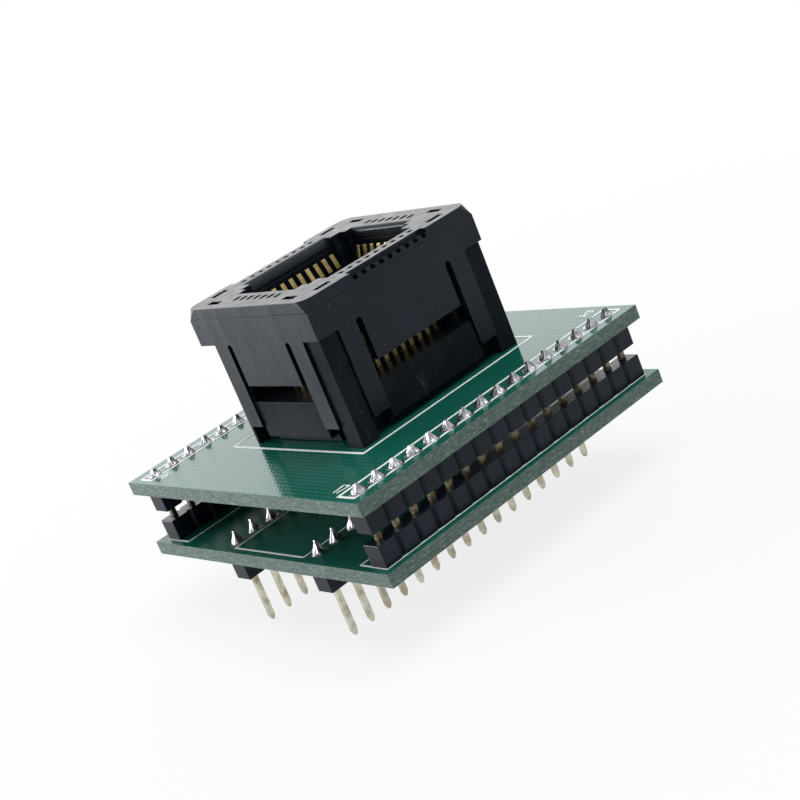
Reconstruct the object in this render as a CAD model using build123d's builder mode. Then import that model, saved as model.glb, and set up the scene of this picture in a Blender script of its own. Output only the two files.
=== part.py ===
from build123d import *
from math import atan, degrees
import os

# Programmer adapter socket, in millimetres.
# +X runs along the pin rows, +Y across them, +Z up.
# The origin is at the tips of the plug pins, under the middle of the boards.
# "front" and "back" are the -X and +X sides, "left" and "right" the +Y and -Y sides.

# Circuit boards
board_length = 42.8
board_width = 43.3
board_thickness = 1.6

# Square header pins, on the common 0.1 inch grid
pitch = 2.54
pins_per_row = 16
pin_size = 0.64
pin_tip_chamfer = 0.2
rows_x = -0.2
rows_y = -0.4

# Insulator strips, one block for each pin
strip_width = 2.5
strip_height = 2.5
notch_width = 0.7
notch_depth = 0.42

# Plug pins under the lower board
dip_row_spacing = 15.24
dip_pin_reach = 5.9
dip_pin_rise = 1.35

# Link pins between the two boards
link_row_spacing = 38.1
link_gap = 1.25
link_pin_rise = 0.85
link_pin_drop = 1.2

# Solder joints
solder_size = 1.7
solder_neck = 0.84
solder_height = 0.6
dip_solder_height = 0.85

# The chip that the test socket takes: 32 J leads, 7 on each short side and 9 on each long one
chip_length = 14.99
chip_width = 12.45
chip_lead_pitch = 1.27
short_side_count = 7
long_side_count = 9
seat_inset = 1.85
seat_height = 11.5
seat_step = 0.7

# Test socket: plan distances are counted outwards from the faces of the chip's leads,
# heights from the top of the upper board
socket_x = 0.65
socket_y = -0.5
wall_reach = 4.775
cover_top = 16.75
parting_height = 15.45
skirt_bottom = 12.35
deck_bottom = 14.6
top_corner_radius = 1.6
edge_radius = 0.15

# Opening in the cover
guide_gap = 0.1
opening_reach = 0.825
short_opening_inset = 0.95
long_opening_inset = 1.3
rim_roll = 1.1
short_rim_roll = 0.5
rib_reach = 1.975
rib_bottom = 12.0

# Pockets in the rim above the contacts, and ribbed ledges outside the long rims
long_pocket_reach = 2.45
long_pocket_size = 0.65
long_pocket_width = 0.65
short_pocket_reach = 1.975
short_pocket_size = 1.03
short_pocket_width = 0.6
ledge_depth = 0.5
ledge_inset = 0.9
ledge_half_length = 5.6
ledge_notch_width = 0.65
ledge_notch_depth = 0.65
ledge_notch_drop = 0.4

# Flaps and snap legs of the cover
flap_inset = 1.2
flap_thickness = 0.8
flap_bottom = 7.35
slot_width = 0.8
leg_width = 2.4
leg_thickness = 1.05
leg_bottom = 2.3
hook_width = 2.1
hook_reach = 0.8
hook_height = 1.0
hook_flat = 0.4

# Base
plinth_bottom = 0.1
plinth_inset = 1.1
base_bottom = 1.0
floor_top = 5.25
corner_overlap = 0.4
base_inset = 0.3
post_top = 13.35
index_chamfer = 2.0
running_gap = 0.1
hook_gap = 0.05
nest_inset = 0.6
comb_tooth = 0.4
comb_top = 9.6
comb_reach = 1.1

# Contacts
contact_width = 0.6
contact_thickness = 0.3
foot_reach = 0.9
foot_height = 3.4
stem_top = 7.4
crotch_reach = 1.5
crotch_height = 8.7
lever_reach = 2.275
lever_top = 12.3
knee_reach = 0.1
knee_height = 9.4
contact_reach = -0.55
contact_height = 13.4
tip_reach = 0.0
tip_height = 15.0
foot_gap = 0.1
foot_depth = 0.65
stem_shift = 0.07
tail_drop = 1.0

# Levels that follow from the sizes above
dip_strip_bottom = dip_pin_reach
lower_board_bottom = dip_strip_bottom + strip_height
lower_board_top = lower_board_bottom + board_thickness
upper_strip_bottom = lower_board_top + strip_height + link_gap
upper_board_bottom = upper_strip_bottom + strip_height
upper_board_top = upper_board_bottom + board_thickness

# Half sizes of the test socket
chip_half_x = chip_length / 2
chip_half_y = chip_width / 2
cover_half_x = chip_half_x + wall_reach
cover_half_y = chip_half_y + wall_reach
base_half_x = cover_half_x - base_inset
base_half_y = cover_half_y - base_inset

row_sides = {"left": 1, "right": -1}

# Each socket side: outward direction, half size of the chip towards it and across it
sides = {
    "front": (-1, 0, chip_half_x, chip_half_y, short_side_count),
    "back": (1, 0, chip_half_x, chip_half_y, short_side_count),
    "left": (0, 1, chip_half_y, chip_half_x, long_side_count),
    "right": (0, -1, chip_half_y, chip_half_x, long_side_count),
}

os.makedirs("parts", exist_ok=True)


def save(builder, name):
    """Label a finished piece and write it to a file of the same name."""
    builder.part.label = name
    export_step(builder.part, f"parts/{name}.step")


def row_plane(spacing, side, height):
    """A level plane at this height, at the middle of one of two pin rows."""
    return Plane((rows_x, rows_y + row_sides[side] * spacing / 2, height))


def pins_at(spacing, rows=2):
    """The places of the pins, from the middle of both rows, or of one row."""
    return GridLocations(pitch, spacing, pins_per_row, rows)


def socket_plane(height):
    """A level plane at this height above the upper board, centred on the test socket."""
    return Plane((socket_x, socket_y, upper_board_top + height))


def side_plane(side):
    """The plane of a side's cross section: X outwards from the chip's leads, Y up."""
    out_x, out_y, half_chip = sides[side][:3]
    origin = (socket_x + out_x * half_chip, socket_y + out_y * half_chip, upper_board_top)
    return Plane(origin, x_dir=(out_x, out_y, 0), z_dir=(out_y, -out_x, 0))


def face_plane(side):
    """The plane of a side's outer wall: X along the side, Y up, Z outwards from the centre."""
    out_x, out_y = sides[side][:2]
    origin = (socket_x, socket_y, upper_board_top)
    return Plane(origin, x_dir=(-out_y, out_x, 0), z_dir=(out_x, out_y, 0))


def contact_places(side):
    """Where a side's contacts stand along it."""
    count = sides[side][4]
    return [(index - (count - 1) / 2) * chip_lead_pitch for index in range(count)]


def foot_places(side):
    """The XY of a side's contact feet, from the middle of the test socket."""
    out_x, out_y, half_chip = sides[side][:3]
    reach = half_chip + foot_reach
    places = contact_places(side)
    return [(out_x * reach - out_y * place, out_y * reach + out_x * place) for place in places]


def foot_section(side, gap=0):
    """The section of a side's contact feet, as sizes along X and Y."""
    along, outwards = contact_width + gap, foot_depth
    return (outwards, along) if sides[side][0] else (along, outwards)


# Circuit boards

with BuildPart() as upper_board:
    with BuildSketch(Plane.XY.offset(upper_board_bottom)):
        Rectangle(board_length, board_width)
        with Locations((rows_x, rows_y)):
            with pins_at(link_row_spacing):
                Rectangle(pin_size, pin_size, mode=Mode.SUBTRACT)
        for side in sides:
            with Locations([(socket_x + x, socket_y + y) for x, y in foot_places(side)]):
                Rectangle(*foot_section(side), mode=Mode.SUBTRACT)
    extrude(amount=board_thickness)
save(upper_board, "upper_board")

with BuildPart() as lower_board:
    with BuildSketch(Plane.XY.offset(lower_board_bottom)):
        Rectangle(board_length, board_width)
        with Locations((rows_x, rows_y)):
            for spacing in (link_row_spacing, dip_row_spacing):
                with pins_at(spacing):
                    Rectangle(pin_size, pin_size, mode=Mode.SUBTRACT)
    extrude(amount=board_thickness)
save(lower_board, "lower_board")


# Insulator strips and pins


def insulator_strip(plane):
    """A strip of blocks, notched where it can be broken, with a square hole for each pin."""
    with BuildPart() as strip:
        with BuildSketch(plane):
            Rectangle(pins_per_row * pitch, strip_width)
            with pins_at(1, rows=1):
                Rectangle(pin_size, pin_size, mode=Mode.SUBTRACT)
            for direction in (1, -1):
                edge = direction * strip_width / 2
                with GridLocations(pitch, 1, pins_per_row - 1, 1):
                    Polygon(
                        (-notch_width / 2, edge),
                        (notch_width / 2, edge),
                        (0, edge - direction * notch_depth),
                        align=None,
                        mode=Mode.SUBTRACT,
                    )
        extrude(amount=strip_height)
    return strip


def slope(run, rise):
    """The taper, in degrees, of a wall that leans in by this run over this rise."""
    return degrees(atan(run / rise))


def pin_row(plane, length, tip_chamfer=0):
    """One row of square pins that stand on a plane, chamfered at their lower tips."""
    with BuildPart() as pin:
        with BuildSketch():
            Rectangle(pin_size, pin_size)
        extrude(amount=length)
        if tip_chamfer:
            chamfer(pin.faces().sort_by(Axis.Z)[0].edges(), tip_chamfer)
    with BuildPart(plane) as pins:
        with pins_at(1, rows=1):
            add(pin.part)
    return pins


def solder_row(plane, height):
    """A row of solder joints, each heaped up from the board round a square pin."""
    with BuildPart() as solder:
        with BuildSketch(plane):
            with pins_at(1, rows=1):
                Rectangle(solder_size, solder_size)
        extrude(amount=height, taper=slope((solder_size - solder_neck) / 2, height))
        with BuildSketch(plane):
            with pins_at(1, rows=1):
                Rectangle(pin_size, pin_size)
        extrude(amount=height, mode=Mode.SUBTRACT)
    return solder


for row in row_sides:
    link_plane = row_plane(link_row_spacing, row, lower_board_bottom - link_pin_drop)
    link_length = upper_board_top + link_pin_rise - lower_board_bottom + link_pin_drop
    save(pin_row(link_plane, link_length), f"link_pins_{row}")
    upper_strip_plane = row_plane(link_row_spacing, row, upper_strip_bottom)
    save(insulator_strip(upper_strip_plane), f"link_strip_upper_{row}")
    lower_strip_plane = row_plane(link_row_spacing, row, lower_board_top)
    save(insulator_strip(lower_strip_plane), f"link_strip_lower_{row}")
    solder_plane = row_plane(link_row_spacing, row, upper_board_top)
    save(solder_row(solder_plane, solder_height), f"solder_top_{row}")

    dip_length = lower_board_top + dip_pin_rise
    save(pin_row(row_plane(dip_row_spacing, row, 0), dip_length, pin_tip_chamfer), f"dip_pins_{row}")
    dip_strip_plane = row_plane(dip_row_spacing, row, dip_strip_bottom)
    save(insulator_strip(dip_strip_plane), f"dip_strip_{row}")
    dip_solder_plane = row_plane(dip_row_spacing, row, lower_board_top)
    save(solder_row(dip_solder_plane, dip_solder_height), f"solder_dip_{row}")


# Test socket: base

# Where the legs run, along each side from its middle
flap_half = {side: sides[side][3] - flap_inset for side in sides}
leg_start = {side: flap_half[side] + slot_width for side in sides}
leg_end = {side: leg_start[side] + leg_width for side in sides}
wall_face = {side: sides[side][2] + wall_reach for side in sides}

post_inner_x = leg_end["left"] + running_gap
post_inner_y = leg_end["front"] + running_gap


with BuildPart() as socket_base:
    # Floor on a narrower plinth, with a foot and a post at each corner
    with BuildSketch(socket_plane(plinth_bottom)):
        Rectangle(2 * (base_half_x - plinth_inset), 2 * (base_half_y - plinth_inset))
    extrude(amount=base_bottom - plinth_bottom)
    with BuildSketch(socket_plane(base_bottom)):
        Rectangle(2 * base_half_x, 2 * base_half_y)
    extrude(amount=floor_top - base_bottom)
    post_x = (post_inner_x + base_half_x) / 2
    post_y = (post_inner_y + base_half_y) / 2
    with BuildSketch(socket_plane(0)):
        with GridLocations(2 * post_x, 2 * post_y, 2, 2):
            Rectangle(base_half_x - post_inner_x, base_half_y - post_inner_y)
    extrude(amount=post_top)
    # Channels for the legs: shallow above, where the hooks catch, and deeper below
    catch_bottom = leg_bottom + hook_height + hook_gap
    shallow = leg_thickness + running_gap
    for side in sides:
        middle = leg_start[side] + leg_width / 2
        for depth, top in ((shallow, floor_top), (shallow + hook_reach, catch_bottom)):
            with BuildSketch(face_plane(side).offset(wall_face[side])):
                with GridLocations(2 * middle, 1, 2, 1):
                    with Locations((0, (plinth_bottom + top) / 2)):
                        Rectangle(leg_width + 2 * running_gap, top - plinth_bottom)
            extrude(amount=-depth, mode=Mode.SUBTRACT)
    # Nest for the chip, with the seat on top of it
    with BuildSketch(socket_plane(floor_top)):
        Rectangle(chip_length - 2 * nest_inset, chip_width - 2 * nest_inset)
    extrude(amount=seat_height - seat_step - floor_top)
    with BuildSketch(socket_plane(seat_height - seat_step)):
        Rectangle(chip_length - 2 * seat_inset, chip_width - 2 * seat_inset)
    extrude(amount=seat_step)
    # Solid corners between the nest and the posts
    nest_x = chip_half_x - nest_inset - corner_overlap
    nest_y = chip_half_y - nest_inset - corner_overlap
    corner_x = post_inner_x + corner_overlap
    corner_y = post_inner_y + corner_overlap
    with BuildSketch(socket_plane(floor_top)):
        with GridLocations(nest_x + corner_x, nest_y + corner_y, 2, 2):
            Rectangle(corner_x - nest_x, corner_y - nest_y)
    extrude(amount=comb_top - floor_top)
    # Comb teeth between the contacts
    for side in sides:
        half_chip = sides[side][2]
        inner = half_chip - nest_inset
        outer = half_chip + comb_reach
        teeth = [place + chip_lead_pitch / 2 for place in contact_places(side)]
        teeth.insert(0, teeth[0] - chip_lead_pitch)
        with BuildSketch(face_plane(side).offset(inner)):
            with Locations([(place, (floor_top + comb_top) / 2) for place in teeth]):
                Rectangle(comb_tooth, comb_top - floor_top)
        extrude(amount=outer - inner)
    # Slots for the contacts
    with BuildSketch(socket_plane(plinth_bottom)):
        for side in sides:
            with Locations(foot_places(side)):
                Rectangle(*foot_section(side, running_gap))
    extrude(amount=floor_top - plinth_bottom, mode=Mode.SUBTRACT)
    # The index corner is cut away from top to bottom
    with BuildSketch(socket_plane(0)):
        with Locations((-base_half_x, base_half_y)):
            Rectangle(index_chamfer * 2**0.5, index_chamfer * 2**0.5, rotation=45)
    extrude(amount=post_top, mode=Mode.SUBTRACT)
save(socket_base, "socket_base")


# Test socket: cover

with BuildPart() as socket_cover:
    # Rim and skirt; above the parting line the corners round off
    with BuildSketch(socket_plane(skirt_bottom)):
        Rectangle(2 * cover_half_x, 2 * cover_half_y)
    extrude(amount=parting_height - skirt_bottom)
    with BuildSketch(socket_plane(parting_height)):
        RectangleRounded(2 * cover_half_x, 2 * cover_half_y, edge_radius)
    with BuildSketch(socket_plane(cover_top)):
        RectangleRounded(2 * cover_half_x, 2 * cover_half_y, top_corner_radius)
    loft()
    # Hollow under the deck
    with BuildSketch(socket_plane(skirt_bottom)):
        Rectangle(2 * (cover_half_x - flap_thickness), 2 * (cover_half_y - flap_thickness))
    extrude(amount=deck_bottom - skirt_bottom, mode=Mode.SUBTRACT)
    # Rib round the opening, whose lower edge pushes the contact levers
    with BuildSketch(socket_plane(rib_bottom)):
        rib_x = chip_half_x + rib_reach
        rib_y = chip_half_y + rib_reach
        Rectangle(2 * rib_x, 2 * rib_y)
    extrude(amount=deck_bottom - rib_bottom)
    # Walls: a flap and two legs on each side
    for side in sides:
        plane = face_plane(side).offset(wall_face[side])
        wall_height = skirt_bottom - leg_bottom
        slot_middle = flap_half[side] + slot_width / 2
        arch = skirt_bottom - slot_width / 2
        with BuildSketch(plane):
            with Locations((0, leg_bottom + wall_height / 2)):
                Rectangle(2 * leg_end[side], wall_height)
            with Locations((0, (leg_bottom + flap_bottom) / 2)):
                Rectangle(2 * leg_start[side], flap_bottom - leg_bottom, mode=Mode.SUBTRACT)
            for middle in (slot_middle, -slot_middle):
                with Locations((middle, (flap_bottom + arch) / 2)):
                    Rectangle(slot_width, arch - flap_bottom, mode=Mode.SUBTRACT)
                with Locations((middle, arch)):
                    Circle(slot_width / 2, mode=Mode.SUBTRACT)
        extrude(amount=-flap_thickness)
        leg_middle = leg_start[side] + leg_width / 2
        with BuildSketch(plane):
            for middle in (leg_middle, -leg_middle):
                with Locations((middle, (leg_bottom + deck_bottom) / 2)):
                    Rectangle(leg_width, deck_bottom - leg_bottom)
        extrude(amount=-leg_thickness)
        # Hooks, with a sloped lead-in below
        inner = wall_reach - leg_thickness
        for middle in (leg_middle, -leg_middle):
            with BuildSketch(side_plane(side).offset(middle)):
                Polygon(
                    (inner, leg_bottom),
                    (inner, leg_bottom + hook_height),
                    (inner - hook_reach, leg_bottom + hook_height),
                    (inner - hook_reach, leg_bottom + hook_height - hook_flat),
                    align=None,
                )
            extrude(amount=hook_width / 2, both=True)
    # Pockets for the corner posts of the base
    skirt_x = base_half_x + running_gap
    skirt_y = base_half_y + running_gap
    with BuildSketch(socket_plane(rib_bottom)):
        pocket_x = (leg_end["left"] + skirt_x) / 2
        pocket_y = (leg_end["front"] + skirt_y) / 2
        with GridLocations(2 * pocket_x, 2 * pocket_y, 2, 2):
            Rectangle(skirt_x - leg_end["left"], skirt_y - leg_end["front"])
    extrude(amount=parting_height - rib_bottom, mode=Mode.SUBTRACT)
    # Opening: a cross for the contacts, and a rectangle that guides the chip
    opening_x = chip_half_x + opening_reach
    opening_y = chip_half_y + opening_reach
    opening_half_x = chip_half_x - long_opening_inset
    opening_half_y = chip_half_y - short_opening_inset
    with BuildSketch(socket_plane(rib_bottom)):
        Rectangle(2 * opening_x, 2 * opening_half_y)
        Rectangle(2 * opening_half_x, 2 * opening_y)
        Rectangle(chip_length + 2 * guide_gap, chip_width + 2 * guide_gap)
    extrude(amount=cover_top - rib_bottom, mode=Mode.SUBTRACT)
    # Rounded inner edges of the rim, between the guide corners
    for side in sides:
        long_side = side in ("left", "right")
        roll = rim_roll if long_side else short_rim_roll
        half_length = opening_half_x if long_side else opening_half_y
        roll_end = opening_reach + roll
        with BuildSketch(side_plane(side)):
            with BuildLine():
                Line((opening_reach, cover_top - roll), (opening_reach, cover_top))
                Line((opening_reach, cover_top), (roll_end, cover_top))
                RadiusArc((roll_end, cover_top), (opening_reach, cover_top - roll), -roll)
            make_face()
        extrude(amount=half_length, both=True, mode=Mode.SUBTRACT)
    # Pockets in the rim above the contacts and above the hooks
    for side in sides:
        out_x, out_y = sides[side][:2]
        long_side = side in ("left", "right")
        size = long_pocket_size if long_side else short_pocket_size
        width = long_pocket_width if long_side else short_pocket_width
        inner_reach = long_pocket_reach if long_side else short_pocket_reach
        reach = sides[side][2] + inner_reach + size / 2
        core_reach = wall_face[side] - leg_thickness - hook_reach / 2
        leg_middle = leg_start[side] + leg_width / 2
        with BuildSketch(socket_plane(deck_bottom)):
            for place in contact_places(side):
                with Locations((out_x * reach - out_y * place, out_y * reach + out_x * place)):
                    Rectangle(size if out_x else width, size if out_y else width)
            for place in (leg_middle, -leg_middle):
                x = out_x * core_reach - out_y * place
                y = out_y * core_reach + out_x * place
                with Locations((x, y)):
                    Rectangle(hook_reach if out_x else hook_width, hook_reach if out_y else hook_width)
        extrude(amount=cover_top - deck_bottom, mode=Mode.SUBTRACT)
    # Ledges outside the long rims, with a row of notches that leaves ribs between them
    with BuildSketch(socket_plane(cover_top - ledge_depth)):
        with GridLocations(1, 2 * cover_half_y, 1, 2):
            Rectangle(2 * ledge_half_length, 2 * ledge_inset)
    extrude(amount=ledge_depth, mode=Mode.SUBTRACT)
    with BuildSketch(socket_plane(cover_top - ledge_depth - ledge_notch_drop)):
        for place in contact_places("left"):
            with Locations((place, cover_half_y), (place, -cover_half_y)):
                Rectangle(ledge_notch_width, 2 * ledge_notch_depth)
    extrude(amount=ledge_notch_drop, mode=Mode.SUBTRACT)
save(socket_cover, "socket_cover")


# Test socket: contacts

foot_bottom = foot_height - contact_thickness / 2
tail_top = foot_bottom - foot_gap
stem_reach = foot_reach - stem_shift
stem_path = [(stem_reach, foot_bottom), (stem_reach, stem_top), (crotch_reach, crotch_height)]
lever_path = stem_path + [(lever_reach, lever_top)]
arm_path = [
    (crotch_reach, crotch_height),
    (knee_reach, knee_height),
    (contact_reach, contact_height),
    (tip_reach, tip_height),
]

for side in sides:
    # Tails: bars that stand in the base and pass through the board
    with BuildPart() as contact_tails:
        with BuildSketch(socket_plane(-board_thickness - tail_drop)):
            with Locations(foot_places(side)):
                Rectangle(*foot_section(side))
        extrude(amount=board_thickness + tail_drop + tail_top)
    save(contact_tails, f"contact_tails_{side}")

    # Arms: a stem that forks into a lever and a contact arm
    with BuildPart() as contact_arms:
        for place in contact_places(side):
            with BuildSketch(side_plane(side).offset(place)):
                for points in (lever_path, arm_path):
                    with BuildLine():
                        Polyline(*points)
                    trace(line_width=contact_thickness)
            extrude(amount=contact_width / 2, both=True)
    save(contact_arms, f"contact_arms_{side}")
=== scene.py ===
import math
import random
from collections import namedtuple

import bmesh
import bpy
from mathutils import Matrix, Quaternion, Vector


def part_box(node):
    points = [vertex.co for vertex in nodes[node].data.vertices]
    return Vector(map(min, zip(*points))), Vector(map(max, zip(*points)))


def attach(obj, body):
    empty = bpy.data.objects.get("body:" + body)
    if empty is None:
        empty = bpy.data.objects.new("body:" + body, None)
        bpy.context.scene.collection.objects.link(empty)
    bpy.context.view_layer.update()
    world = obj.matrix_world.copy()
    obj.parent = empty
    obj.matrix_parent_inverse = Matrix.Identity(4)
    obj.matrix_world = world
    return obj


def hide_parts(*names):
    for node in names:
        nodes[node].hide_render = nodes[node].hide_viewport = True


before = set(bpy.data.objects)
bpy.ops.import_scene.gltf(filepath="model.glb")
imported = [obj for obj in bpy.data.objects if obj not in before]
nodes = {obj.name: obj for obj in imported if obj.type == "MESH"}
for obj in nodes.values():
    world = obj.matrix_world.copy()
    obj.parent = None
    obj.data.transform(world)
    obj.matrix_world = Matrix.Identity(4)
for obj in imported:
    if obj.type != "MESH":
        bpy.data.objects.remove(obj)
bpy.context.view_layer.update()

MM = 0.001
rng = random.Random(7)

# Sizes that follow the part's source, in metres
PITCH = 2.54 * MM
PINS = 16
ROWS_X = -0.2 * MM
ROWS_Y = -0.4 * MM
LINK_SPACING = 38.1 * MM
DIP_SPACING = 15.24 * MM
PIN_HALF = 0.32 * MM
CHIP_HALF = {"x": 7.495 * MM, "y": 6.225 * MM}
LEAD_PITCH = 1.27 * MM
SOCKET_X = 0.65 * MM
SOCKET_Y = -0.5 * MM
FOOT_REACH = 0.9 * MM
# How far the pins stand out of the board's top
LINK_RISE = 0.85 * MM
DIP_RISE = 1.35 * MM
# Each side of the test socket: its direction and its number of contacts
CONTACTS = {"front": (-1, 0, 7), "back": (1, 0, 7), "left": (0, 1, 9), "right": (0, -1, 9)}

upper_bottom, upper_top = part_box("upper_board")[0].z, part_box("upper_board")[1].z
lower_bottom, lower_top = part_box("lower_board")[0].z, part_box("lower_board")[1].z
pin_xs = [ROWS_X + (i - (PINS - 1) / 2) * PITCH for i in range(PINS)]
link_ys = {"left": ROWS_Y + LINK_SPACING / 2, "right": ROWS_Y - LINK_SPACING / 2}
dip_ys = {"left": ROWS_Y + DIP_SPACING / 2, "right": ROWS_Y - DIP_SPACING / 2}


def tail_places(side):
    """The XY of the contact tails on one side of the test socket."""
    out_x, out_y, count = CONTACTS[side]
    reach = CHIP_HALF["x" if out_x else "y"] + FOOT_REACH
    steps = [(index - (count - 1) / 2) * LEAD_PITCH for index in range(count)]
    return [
        (SOCKET_X + out_x * reach - out_y * step, SOCKET_Y + out_y * reach + out_x * step)
        for step in steps
    ]


# Camera at the photograph's angle, solved from points of the photograph
camera_data = bpy.data.cameras.new("camera")
camera = bpy.data.objects.new("camera", camera_data)
bpy.context.scene.collection.objects.link(camera)
camera.location = (-0.0998045, -0.1459402, 0.0715844)
camera.rotation_mode = "QUATERNION"
camera.rotation_quaternion = Quaternion((0.7062139, 0.5886160, -0.0658050, -0.3878953))
camera_data.sensor_width = 36
camera_data.lens = 74.6756
camera_data.clip_start = 0.01
camera_data.clip_end = 10
bpy.context.scene.camera = camera


# Materials


class Shader:
    """A material and short calls that add nodes to it."""

    def __init__(self, name):
        self.material = bpy.data.materials.new(name)
        self.material.use_nodes = True
        self.tree = self.material.node_tree
        self.surface = self.tree.nodes["Principled BSDF"]
        self.place = self.add("ShaderNodeTexCoord").outputs["Object"]

    def add(self, kind, inputs=None, **settings):
        made = self.tree.nodes.new(kind)
        for key, value in settings.items():
            setattr(made, key, value)
        for key, value in (inputs or {}).items():
            self.put(made.inputs[key], value)
        return made

    def put(self, socket, value):
        if isinstance(value, bpy.types.NodeSocket):
            self.tree.links.new(value, socket)
        else:
            socket.default_value = value

    def set(self, **values):
        for key, value in values.items():
            self.put(self.surface.inputs[key.replace("_", " ")], value)

    def math(self, operation, a, b=0.0):
        return self.add("ShaderNodeMath", {0: a, 1: b}, operation=operation).outputs[0]

    def split(self, vector):
        """The X, Y and Z of a vector."""
        return self.add("ShaderNodeSeparateXYZ", {0: vector}).outputs

    def noise(self, scale, detail=3.0, roughness=0.5, stretch=None):
        source = self.place
        if stretch:
            mapping = self.add("ShaderNodeMapping", {"Vector": source, "Scale": stretch})
            source = mapping.outputs[0]
        made = self.add(
            "ShaderNodeTexNoise",
            {"Vector": source, "Scale": scale, "Detail": detail, "Roughness": roughness},
        )
        return made.outputs[0]

    def ramp(self, value, low, high, start=0.0, end=1.0):
        """A smooth step from start, at low, to end, at high."""
        limits = {"From Min": low, "From Max": high, "To Min": start, "To Max": end}
        made = self.add(
            "ShaderNodeMapRange", {"Value": value, **limits}, interpolation_type="SMOOTHSTEP"
        )
        return made.outputs[0]

    def mix(self, factor, a, b):
        """A blend of two colours, with the Mix node's sockets for colours."""
        made = self.add("ShaderNodeMix", data_type="RGBA")
        self.put(made.inputs[0], factor)
        self.put(made.inputs[6], a)
        self.put(made.inputs[7], b)
        return made.outputs[2]

    def mix_value(self, factor, a, b):
        """A blend of two values, with the Mix node's sockets for values."""
        made = self.add("ShaderNodeMix", data_type="FLOAT")
        self.put(made.inputs[0], factor)
        self.put(made.inputs[2], a)
        self.put(made.inputs[3], b)
        return made.outputs[0]

    def bump(self, height, distance, strength=1.0, normal=None):
        inputs = {"Height": height, "Distance": distance, "Strength": strength}
        if normal:
            inputs["Normal"] = normal
        return self.add("ShaderNodeBump", inputs).outputs[0]

    def specks(self, scale, size, chance):
        """Small round specks in a few of the cells of a grid: 1 on a speck."""
        cells = self.add("ShaderNodeTexVoronoi", {"Vector": self.place, "Scale": scale})
        near = self.ramp(cells.outputs["Distance"], size, size * 0.5)
        picked = self.add("ShaderNodeSeparateColor", {0: cells.outputs["Color"]}).outputs[0]
        return self.math("MULTIPLY", near, self.math("LESS_THAN", picked, chance))


def rgb(red, green, blue):
    """A colour given as it looks on a screen, 0 to 255, for a linear colour socket."""

    def linear(value):
        value /= 255
        return value / 12.92 if value <= 0.04045 else ((value + 0.055) / 1.055) ** 2.4

    return (linear(red), linear(green), linear(blue), 1)


# The copper is hatched beyond the printed outline of the test socket
HATCH_PITCH = 0.635 * MM
HATCH_MIDDLE_X = 0.92 * MM
HATCH_START = (13.1 * MM, 13.4 * MM)


def board_material(name, shine, roughness):
    """Green solder mask over hatched copper on top and below, glass fibre at the edges."""
    made = Shader(name)
    facing = made.split(made.add("ShaderNodeTexCoord").outputs["Normal"])
    flat = made.math("GREATER_THAN", made.math("ABSOLUTE", facing[2]), 0.5)
    x, y, z = made.split(made.place)

    def squared_offset(value):
        """The square of the distance from the middle of a cell of the hatch."""
        turned = made.math("FRACT", made.math("DIVIDE", value, HATCH_PITCH))
        offset = made.math("ABSOLUTE", made.math("SUBTRACT", turned, 0.5))
        return made.math("MULTIPLY", offset, offset)

    reach = made.math("SQRT", made.math("ADD", squared_offset(x), squared_offset(y)))
    hole = made.ramp(reach, 0.30, 0.12)
    beyond = made.math("ABSOLUTE", made.math("SUBTRACT", x, HATCH_MIDDLE_X))
    hole = made.math("MULTIPLY", hole, made.ramp(beyond, *HATCH_START))
    # Only the upper board is hatched
    hole = made.math("MULTIPLY", hole, made.math("GREATER_THAN", z, upper_bottom))
    cloud = made.noise(90, 3)
    mask = made.mix(cloud, rgb(12, 79, 67), rgb(26, 99, 86))
    mask = made.mix(made.math("MULTIPLY", hole, 0.5), mask, rgb(62, 120, 108))
    fine = made.noise(1400, 4)
    mask = made.mix(made.ramp(fine, 0.6, 0.8, 0, 0.22), mask, rgb(58, 116, 104))
    dust = made.math("MULTIPLY", made.specks(3400, 0.2, 0.025), 0.55)
    mask = made.mix(dust, mask, rgb(168, 196, 188))
    # Glass fibre: layers along the edge, with pale and dark strands
    layers = made.noise(300, 4, 0.65, stretch=(1, 1, 14))
    strands = made.noise(5200, 3, 0.7, stretch=(0.3, 0.3, 1.3))
    fibre = made.mix(layers, rgb(62, 80, 75), rgb(100, 115, 109))
    fibre = made.mix(made.ramp(strands, 0.52, 0.72, 0, 0.6), fibre, rgb(160, 174, 162))
    fibre = made.mix(made.ramp(strands, 0.48, 0.3, 0, 0.6), fibre, rgb(44, 62, 54))
    mask_roughness = made.ramp(cloud, 0.3, 0.7, roughness, roughness + 0.06)
    waves = made.math("MULTIPLY", made.noise(500, 2), 0.12)
    mask_height = made.math("SUBTRACT", waves, hole)
    edge_height = made.math("MULTIPLY", strands, 0.8)
    height = made.mix_value(flat, edge_height, mask_height)
    made.set(
        Base_Color=made.mix(flat, fibre, mask),
        Roughness=made.mix_value(flat, 0.6, mask_roughness),
        IOR=1.5,
        Specular_IOR_Level=shine,
        Specular_Tint=(0.8, 0.95, 1.0, 1),
        Normal=made.bump(height, 0.02 * MM, 0.6),
    )
    return made.material


SOFT_EDGE = 0.09 * MM
# The half width of the painted shade along the mould seam, outside and inside its soft border
LINE_BORDER = (0.09 * MM, 0.05 * MM)


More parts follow.
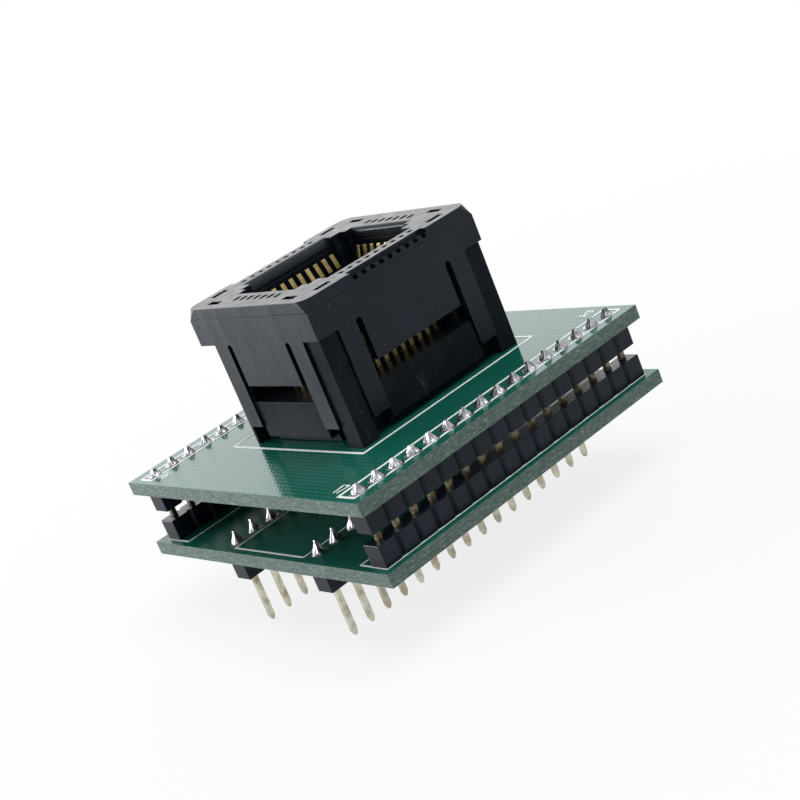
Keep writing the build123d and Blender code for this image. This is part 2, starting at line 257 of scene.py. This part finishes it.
def plastic_material(name, dark, light, roughness, shine, grain, dusty, line=None):
    """Near-black moulded plastic with softened edges, grain, scuffs, dust and a mould seam whose
    groove is darkened with painted shade.
    """
    made = Shader(name)
    cloud = made.noise(160, 4, 0.6)
    body = made.mix(made.ramp(cloud, 0.35, 0.7), dark, light)
    scuffs = made.noise(900, 4, 0.7, stretch=(1, 1, 0.2))
    scuff = made.ramp(scuffs, 0.6, 0.8, 0, 0.3 * dusty)
    body = made.mix(scuff, body, rgb(84, 88, 96))
    coarse = made.specks(1700, 0.14, 0.02 * dusty)
    fine = made.specks(3600, 0.2, 0.05 * dusty)
    dust = made.math("MAXIMUM", coarse, made.math("MULTIPLY", fine, 0.6))
    body = made.mix(made.math("MULTIPLY", dust, 0.45), body, rgb(140, 144, 150))
    rounded = made.add("ShaderNodeBevel", {"Radius": SOFT_EDGE}, samples=6).outputs[0]
    normal = made.bump(made.noise(grain, 3, 0.6), 0.01 * MM, 0.5, rounded)
    if line:
        level = made.split(made.place)[2]
        away = made.math("ABSOLUTE", made.math("SUBTRACT", level, line))
        seam_shade = made.ramp(away, *LINE_BORDER)
        # Painted shade: the mould seam is coloured near black as its groove's shadow, on top of
        # the real groove in the bump
        body = made.mix(seam_shade, body, rgb(4, 4, 6))
        normal = made.bump(made.math("SUBTRACT", 1, seam_shade), 0.06 * MM, 1.0, normal)
    made.set(
        Base_Color=body,
        Roughness=made.ramp(scuffs, 0.3, 0.75, roughness - 0.03, roughness + 0.07),
        IOR=1.5,
        Specular_IOR_Level=shine,
        Specular_Tint=(0.78, 0.9, 1.0, 1),
        Normal=made.bump(dust, 0.02 * MM, 0.5, normal),
    )
    return made.material


def metal_material(name, light, dark, roughness, scale, depth, tinned_above=None):
    """Metal with a slightly uneven surface; above a level it may be covered in solder."""
    made = Shader(name)
    cloud = made.noise(scale, 4, 0.6)
    colour = made.mix(made.ramp(cloud, 0.3, 0.72), light, dark)
    if tinned_above:
        level = made.split(made.place)[2]
        tinned = made.ramp(level, tinned_above, tinned_above + 0.05 * MM)
        colour = made.mix(tinned, colour, rgb(196, 196, 196))
    patches = made.noise(scale * 2, 3)
    made.set(
        Base_Color=colour,
        Metallic=1.0,
        Roughness=made.ramp(patches, 0.3, 0.7, roughness - 0.08, roughness + 0.1),
        Normal=made.bump(made.noise(scale * 3, 4, 0.6), depth, 0.6),
    )
    return made.material


def print_material():
    """White screen-printed ink, a little uneven."""
    made = Shader("print")
    wear = made.noise(1800, 4, 0.6)
    worn = made.ramp(wear, 0.42, 0.68)
    made.set(
        Base_Color=made.mix(worn, rgb(248, 251, 249), rgb(218, 230, 225)),
        Roughness=0.5,
        Normal=made.bump(wear, 0.01 * MM, 0.5),
    )
    return made.material


upper_mask = board_material("upper_mask", shine=0.22, roughness=0.09)
lower_mask = board_material("lower_mask", shine=0.2, roughness=0.26)
cover_plastic = plastic_material(
    "cover_plastic", rgb(9, 14, 22), rgb(15, 21, 31),
    roughness=0.32, shine=0.24, grain=2600, dusty=1.0, line=upper_top + 15.45 * MM,
)
base_plastic = plastic_material(
    "base_plastic", rgb(17, 23, 28), rgb(27, 33, 39),
    roughness=0.3, shine=0.05, grain=3600, dusty=2.6,
)
strip = plastic_material(
    "strip", rgb(12, 16, 25), rgb(20, 26, 37),
    roughness=0.3, shine=0.22, grain=1800, dusty=0.5,
)
solder = metal_material(
    "solder", rgb(178, 179, 183), rgb(92, 93, 98), roughness=0.33, scale=1100, depth=0.03 * MM
)
gold_pin = metal_material(
    "gold_pin", rgb(206, 203, 186), rgb(152, 145, 122),
    roughness=0.26, scale=700, depth=0.006 * MM,
)
# The link pins' gold is darkened to brown as painted shade of the gap between the header strips;
# the tinned tops are real solder
link_pin = metal_material(
    "link_pin", rgb(128, 120, 98), rgb(52, 47, 36),
    roughness=0.34, scale=1400, depth=0.01 * MM, tinned_above=upper_top,
)
# The contacts' gold is darker than the pins' gold: painted shade of the socket's dim inside
gold_contact = metal_material(
    "gold_contact", rgb(176, 160, 112), rgb(134, 118, 76),
    roughness=0.3, scale=500, depth=0.003 * MM,
)
ink = print_material()


# Pieces

WELD_DISTANCE = 1e-7
FLAT_ANGLE = math.radians(1)
SHARP_ANGLE = math.radians(35)


def finish_node(name, material, bevel=0.0):
    """Gives a CAD node its material, and bevels its sharp edges where a width is given."""
    piece = nodes[name]
    piece.data.materials.clear()
    piece.data.materials.append(material)
    if bevel:
        weld = piece.modifiers.new("weld", "WELD")
        weld.merge_threshold = WELD_DISTANCE
        planar = piece.modifiers.new("planar", "DECIMATE")
        planar.decimate_type = "DISSOLVE"
        planar.angle_limit = FLAT_ANGLE
        edges = piece.modifiers.new("edges", "BEVEL")
        edges.width = bevel
        edges.segments = 2
        edges.limit_method = "ANGLE"
        edges.angle_limit = SHARP_ANGLE
        edges.use_clamp_overlap = False
        edges.harden_normals = True


def mesh_piece(name, made, material, body="adapter", smooth=True):
    """A mesh object from a bmesh, riding on a body."""
    mesh = bpy.data.meshes.new(name)
    made.normal_update()
    made.to_mesh(mesh)
    made.free()
    for face in mesh.polygons:
        face.use_smooth = smooth
    piece = bpy.data.objects.new(name, mesh)
    bpy.context.scene.collection.objects.link(piece)
    mesh.materials.append(material)
    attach(piece, body)
    return piece


def join_loops(made, loops, outwards=True):
    """Closes a body from its loops of vertices, with a face over each end."""
    order = 1 if outwards else -1
    count = len(loops[0])
    for low, top in zip(loops, loops[1:]):
        for step in range(count):
            after = (step + 1) % count
            corners = (low[step], low[after], top[after], top[step])
            made.faces.new(corners[::order])
    made.faces.new(loops[-1][::order])
    made.faces.new(loops[0][::-order])


# A solder joint: half its width at the board, at the pin's foot and at its tip, its height,
# and whether it closes over the pin's end
Fillet = namedtuple("Fillet", "base pin tip height capped")
CAP = 0.08 * MM
LINK_FILLET = Fillet(0.77 * MM, 0.33 * MM, 0.2 * MM, LINK_RISE + CAP, True)
DIP_FILLET = Fillet(0.84 * MM, 0.33 * MM, 0.15 * MM, DIP_RISE + CAP, True)
UNDER_FILLET = Fillet(0.85 * MM, 0.34 * MM, 0.34 * MM, 0.5 * MM, False)
TAIL_FILLET = Fillet(0.5 * MM, 0.36 * MM, 0.36 * MM, 0.8 * MM, False)
JOINT_STEPS = 40
JOINT_RINGS = 12
# The share of a capped joint's height below its cap
CAP_START = 0.84


def solder_joint(made, x, y, level, up, fillet):
    """A fillet of solder drawn up a pin's corners, each a little different."""
    body = CAP_START if fillet.capped else 1.0
    lean = Vector((rng.uniform(-0.1, 0.1), rng.uniform(-0.1, 0.1))) * fillet.height
    size = rng.uniform(0.94, 1.06)
    high = fillet.height * rng.uniform(0.97, 1.08)
    lumps = [(rng.uniform(0, math.tau), rng.uniform(0.0, 0.05), k) for k in (2, 3, 5)]
    flutes = [(rng.uniform(0, math.tau), rng.uniform(0.04, 0.09), k) for k in (6, 9)]
    loops = []
    for ring in range(JOINT_RINGS + 1):
        share = ring / JOINT_RINGS
        climb = min(share / body, 1.0)
        pin = fillet.pin + (fillet.tip - fillet.pin) * climb
        wide = pin + (fillet.base * size - fillet.pin) * (1 - climb) ** 2.1
        if share > body:
            wide *= math.sqrt(1.02 - ((share - body) / (1 - body)) ** 2)
        loop = []
        for step in range(JOINT_STEPS):
            turn = math.tau * step / JOINT_STEPS
            c, s = math.cos(turn), math.sin(turn)
            corner = 1 / max(abs(c), abs(s))
            ripple = 1 + (1 - climb) * sum(a * math.sin(k * turn + p) for p, a, k in lumps)
            draw = math.sin(math.pi * min(climb, 0.97))
            flute = 1 + draw * sum(a * math.sin(k * turn + p) for p, a, k in flutes)
            crest = 1 + 0.2 * draw * abs(math.sin(2 * turn)) ** 3
            radius = wide * ripple * flute * crest * (1 + (corner - 1) * climb**1.2)
            drift = lean * climb * (1 - 0.5 * climb)
            place = (x + radius * c + drift.x, y + radius * s + drift.y)
            loop.append(made.verts.new((*place, level + up * high * share)))
        loops.append(loop)
    join_loops(made, loops, up > 0)


def solder_piece(name, places, level, up, fillet, replaced=()):
    """The solder joints round a group of pins or contact tails, as one piece."""
    made = bmesh.new()
    for x, y in places:
        solder_joint(made, x, y, level, up, fillet)
    piece = mesh_piece(name, made, solder)
    if replaced:
        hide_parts(*replaced)


PIN_CORNER = 0.05 * MM
# The last stretch of a pin's end, which is drawn in more
PIN_NOSE = 0.08 * MM


def pin_piece(name, places, box, low_taper, high_taper, tip, material, replaced, lowest=0.0):
    """A row of square pins with softened corners, drawn in towards both tips."""
    made = bmesh.new()
    low, high = max(box[0].z, lowest), box[1].z
    # Levels along the pin and half its width there
    stations = [
        (low, 0.5 * PIN_HALF), (low + PIN_NOSE, 0.58 * PIN_HALF),
        (low + low_taper, PIN_HALF), (high - high_taper, PIN_HALF),
        (high - PIN_NOSE, tip * 1.15), (high, tip),
    ]
    for x, y in places:
        loops = []
        for level, half in stations:
            cut = half - PIN_CORNER * half / PIN_HALF
            corners = [
                (half, cut), (cut, half), (-cut, half), (-half, cut),
                (-half, -cut), (-cut, -half), (cut, -half), (half, -cut),
            ]
            loops.append([made.verts.new((x + u, y + v, level)) for u, v in corners])
        join_loops(made, loops)
    piece = mesh_piece(name, made, material, smooth=False)
    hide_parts(replaced)


PAD_STEPS = 32
PAD_THICKNESS = 0.035 * MM


def pad_discs(made, places, level, up, radius):
    """Tinned pads round the pins, a little proud of the board, with a sloping rim."""
    rings = ((radius, level), (radius - PAD_THICKNESS, level + up * PAD_THICKNESS))
    turns = [math.tau * step / PAD_STEPS for step in range(PAD_STEPS)]
    for x, y in places:
        loops = [
            [
                made.verts.new((x + reach * math.cos(t), y + reach * math.sin(t), height))
                for t in turns
            ]
            for reach, height in rings
        ]
        join_loops(made, loops, up > 0)


PRINT_THICKNESS = 0.02 * MM
PRINT_THICKNESS_STEP = 0.004 * MM


def bar(made, start, end, width, level):
    """A printed line from start to end, with square ends half its width longer."""
    # Lines that cross or meet differ a little in thickness, so that no two faces coincide
    thick = PRINT_THICKNESS + PRINT_THICKNESS_STEP * (len(made.verts) // 8 % 4)
    a, b = Vector(start), Vector(end)
    along = (b - a).normalized() * width / 2
    side = Vector((-along.y, along.x))
    corners = (a - along - side, b + along - side, b + along + side, a - along + side)
    low = [made.verts.new((c.x, c.y, level)) for c in corners]
    high = [made.verts.new((c.x, c.y, level + thick)) for c in corners]
    join_loops(made, [low, high])


def outline(made, points, width, level):
    """A printed line through the points."""
    for start, end in zip(points, points[1:]):
        bar(made, start, end, width, level)


def box_outline(made, x0, y0, x1, y1, width, level):
    """A printed rectangle between two opposite corners."""
    points = [(x0, y0), (x0, y1), (x1, y1), (x1, y0), (x0, y0)]
    outline(made, points, width, level)


# Strokes of the pin numbers, on a grid 4 wide and 6 high
DIGITS = {
    "1": [[(1, 5), (2, 6), (2, 0)]],
    "2": [[(0, 5), (1, 6), (3, 6), (4, 5), (4, 4), (0, 0), (4, 0)]],
    "3": [[(0, 6), (4, 6), (2, 3.6), (3, 3.6), (4, 2.6), (4, 1), (3, 0), (1, 0), (0, 1)]],
    "6": [
        [(3.5, 6), (1, 4), (0, 2), (0, 1), (1, 0), (3, 0), (4, 1), (4, 2), (3, 3), (0.6, 3)]
    ],
    "7": [[(0, 6), (4, 6), (1.4, 0)]],
}
DIGIT_HEIGHT = 1.38 * MM
# From one digit to the next, on the digits' grid
DIGIT_STEP = 5.8
STROKE_WIDTH = 0.2 * MM


def number(made, text, x, y, level):
    """A pin number whose lower left corner is given; it reads towards -Y, its top at +X."""
    unit, narrow = DIGIT_HEIGHT / 6, DIGIT_HEIGHT / 12
    for index, digit in enumerate(text):
        for stroke in DIGITS[digit]:
            points = [
                (x + v * unit, y - (u + index * DIGIT_STEP) * narrow) for u, v in stroke
            ]
            outline(made, points, STROKE_WIDTH, level)


# Boards and what is printed on them
finish_node("upper_board", upper_mask, 0.06 * MM)
finish_node("lower_board", lower_mask, 0.06 * MM)

UPPER_LINE = 0.33 * MM
LOWER_LINE = 0.24 * MM
ROW_START = -20.5 * MM
UPPER_ROW_END = 20.3 * MM
LOWER_ROW_END = 20.1 * MM

# On the upper board: round the test socket, round the pin rows, and the pin numbers
printed = bmesh.new()
box_outline(
    printed, -12.3 * MM, 11.85 * MM, 14.15 * MM, -12.15 * MM, UPPER_LINE, upper_top
)
for inner, outer in ((17.6 * MM, 19.9 * MM), (-17.65 * MM, -20.2 * MM)):
    box_outline(printed, ROW_START, inner, UPPER_ROW_END, outer, UPPER_LINE, upper_top)
for text, x, y in (
    ("17", -19.8 * MM, -15.87 * MM),
    ("32", 18.8 * MM, -15.3 * MM),
    ("16", -19.8 * MM, 17.3 * MM),
    ("1", 18.8 * MM, 17.1 * MM),
):
    number(printed, text, x, y, upper_top)
mesh_piece("upper_print", printed, ink, smooth=False)

# On the lower board: round the plug rows, and round each header strip
printed = bmesh.new()
box_outline(printed, ROW_START, 6.0 * MM, LOWER_ROW_END, -6.75 * MM, LOWER_LINE, lower_top)
for side in (1, -1):
    inner, outer = ROWS_Y + side * 16.05 * MM, ROWS_Y + side * 20.3 * MM
    box_outline(printed, ROW_START, inner, LOWER_ROW_END, outer, LOWER_LINE, lower_top)
mesh_piece("lower_print", printed, ink, smooth=False)

# Pads and solder
pads = bmesh.new()
for ys, level, up, radius in (
    (link_ys, upper_top, 1, 1.0 * MM),
    (dip_ys, lower_top, 1, 0.95 * MM),
    (link_ys, lower_bottom, -1, 0.95 * MM),
):
    pad_discs(pads, [(x, y) for x in pin_xs for y in ys.values()], level, up, radius)
mesh_piece("pads", pads, solder, smooth=False)
for row in ("left", "right"):
    link_places = [(x, link_ys[row]) for x in pin_xs]
    dip_places = [(x, dip_ys[row]) for x in pin_xs]
    solder_piece(
        f"joints_top_{row}", link_places, upper_top, 1, LINK_FILLET, [f"solder_top_{row}"]
    )
    solder_piece(
        f"joints_dip_{row}", dip_places, lower_top, 1, DIP_FILLET, [f"solder_dip_{row}"]
    )
    solder_piece(f"joints_under_{row}", link_places, lower_bottom, -1, UNDER_FILLET)
tails = [place for side in CONTACTS for place in tail_places(side)]
solder_piece("joints_socket", tails, upper_bottom, -1, TAIL_FILLET)

# Header strips and pins. The photograph shows no link pins below the lower board's edge, so
# they end sooner there than the solids do.
LINK_PIN_DROP = 0.55 * MM
for row in ("left", "right"):
    for name in (f"link_strip_upper_{row}", f"link_strip_lower_{row}", f"dip_strip_{row}"):
        finish_node(name, strip, 0.1 * MM)
    pin_piece(
        f"pins_link_{row}", [(x, link_ys[row]) for x in pin_xs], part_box(f"link_pins_{row}"),
        0.1 * MM, 0.8 * MM, 0.17 * MM, link_pin, f"link_pins_{row}",
        lower_bottom - LINK_PIN_DROP,
    )
    pin_piece(
        f"pins_dip_{row}", [(x, dip_ys[row]) for x in pin_xs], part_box(f"dip_pins_{row}"),
        0.55 * MM, 1.3 * MM, 0.13 * MM, gold_pin, f"dip_pins_{row}",
    )

# Test socket. The mouldings have no bevel, because it makes spikes at their thin walls.
finish_node("socket_base", base_plastic)
finish_node("socket_cover", cover_plastic)
for side in CONTACTS:
    finish_node(f"contact_tails_{side}", gold_contact)
    finish_node(f"contact_arms_{side}", gold_contact, 0.04 * MM)


# Floor, background and light


def white_rays(tree):
    """1 on the rays that see a white background: camera, glossy and transmission rays."""
    path = tree.nodes.new("ShaderNodeLightPath").outputs
    shown = path["Is Camera Ray"]
    for name in ("Is Glossy Ray", "Is Transmission Ray"):
        either = tree.nodes.new("ShaderNodeMath")
        either.operation = "MAXIMUM"
        tree.links.new(shown, either.inputs[0])
        tree.links.new(path[name], either.inputs[1])
        shown = either.outputs[0]
    return shown


floor_mesh = bmesh.new()
bmesh.ops.create_grid(floor_mesh, x_segments=1, y_segments=1, size=3)
floor_data = bpy.data.meshes.new("floor")
floor_mesh.to_mesh(floor_data)
floor_mesh.free()
floor = bpy.data.objects.new("floor", floor_data)
floor.location.z = -0.05 * MM
bpy.context.scene.collection.objects.link(floor)

# Away from the object the floor fades into the white background
FADE_START, FADE_END = 0.05, 0.16
floor_shader = Shader("floor")
floor_shader.set(Base_Color=rgb(232, 233, 234), Roughness=0.9)
glow = floor_shader.add("ShaderNodeEmission", {"Color": (1, 1, 1, 1), "Strength": 1.0})
away = floor_shader.add("ShaderNodeVectorMath", {0: floor_shader.place}, operation="LENGTH")
white = floor_shader.ramp(away.outputs["Value"], FADE_START, FADE_END, 0.8, 1.0)
share = floor_shader.math("MULTIPLY", white_rays(floor_shader.tree), white)
both = floor_shader.add("ShaderNodeMixShader", {0: share})
floor_shader.tree.links.new(floor_shader.surface.outputs[0], both.inputs[1])
floor_shader.tree.links.new(glow.outputs[0], both.inputs[2])
output = floor_shader.tree.nodes["Material Output"]
floor_shader.tree.links.new(both.outputs[0], output.inputs["Surface"])
floor_data.materials.append(floor_shader.material)

# The world lights the object less than it shows
WORLD_LIGHT, WORLD_SHOWN = 0.45, 1.0
world = bpy.data.worlds.new("world")
bpy.context.scene.world = world
world.use_nodes = True
tree = world.node_tree
strength = tree.nodes.new("ShaderNodeMix")
strength.inputs[2].default_value = WORLD_LIGHT
strength.inputs[3].default_value = WORLD_SHOWN
tree.links.new(white_rays(tree), strength.inputs[0])
background = tree.nodes["Background"]
background.inputs["Color"].default_value = (1, 1, 1, 1)
tree.links.new(strength.outputs[0], background.inputs["Strength"])


def soft_box(name, position, width, height, power):
    """A large soft lamp that faces the middle of the object."""
    data = bpy.data.lights.new(name, "AREA")
    data.shape = "RECTANGLE"
    data.size, data.size_y = width, height
    data.energy = power
    lamp = bpy.data.objects.new(name, data)
    bpy.context.scene.collection.objects.link(lamp)
    lamp.location = position
    direction = Vector((0, 0, 0.018)) - Vector(position)
    lamp.rotation_mode = "QUATERNION"
    lamp.rotation_quaternion = direction.to_track_quat("-Z", "Y")
    lamp.visible_camera = False


soft_box("key", (-0.24, 0.36, 0.065), 0.3, 0.12, 2.2)
soft_box("back", (0.25, 0.38, 0.16), 0.5, 0.24, 0.5)
soft_box("top", (0.02, -0.14, 0.42), 0.25, 0.25, 1.0)

scene = bpy.context.scene
scene.view_settings.view_transform = "Standard"
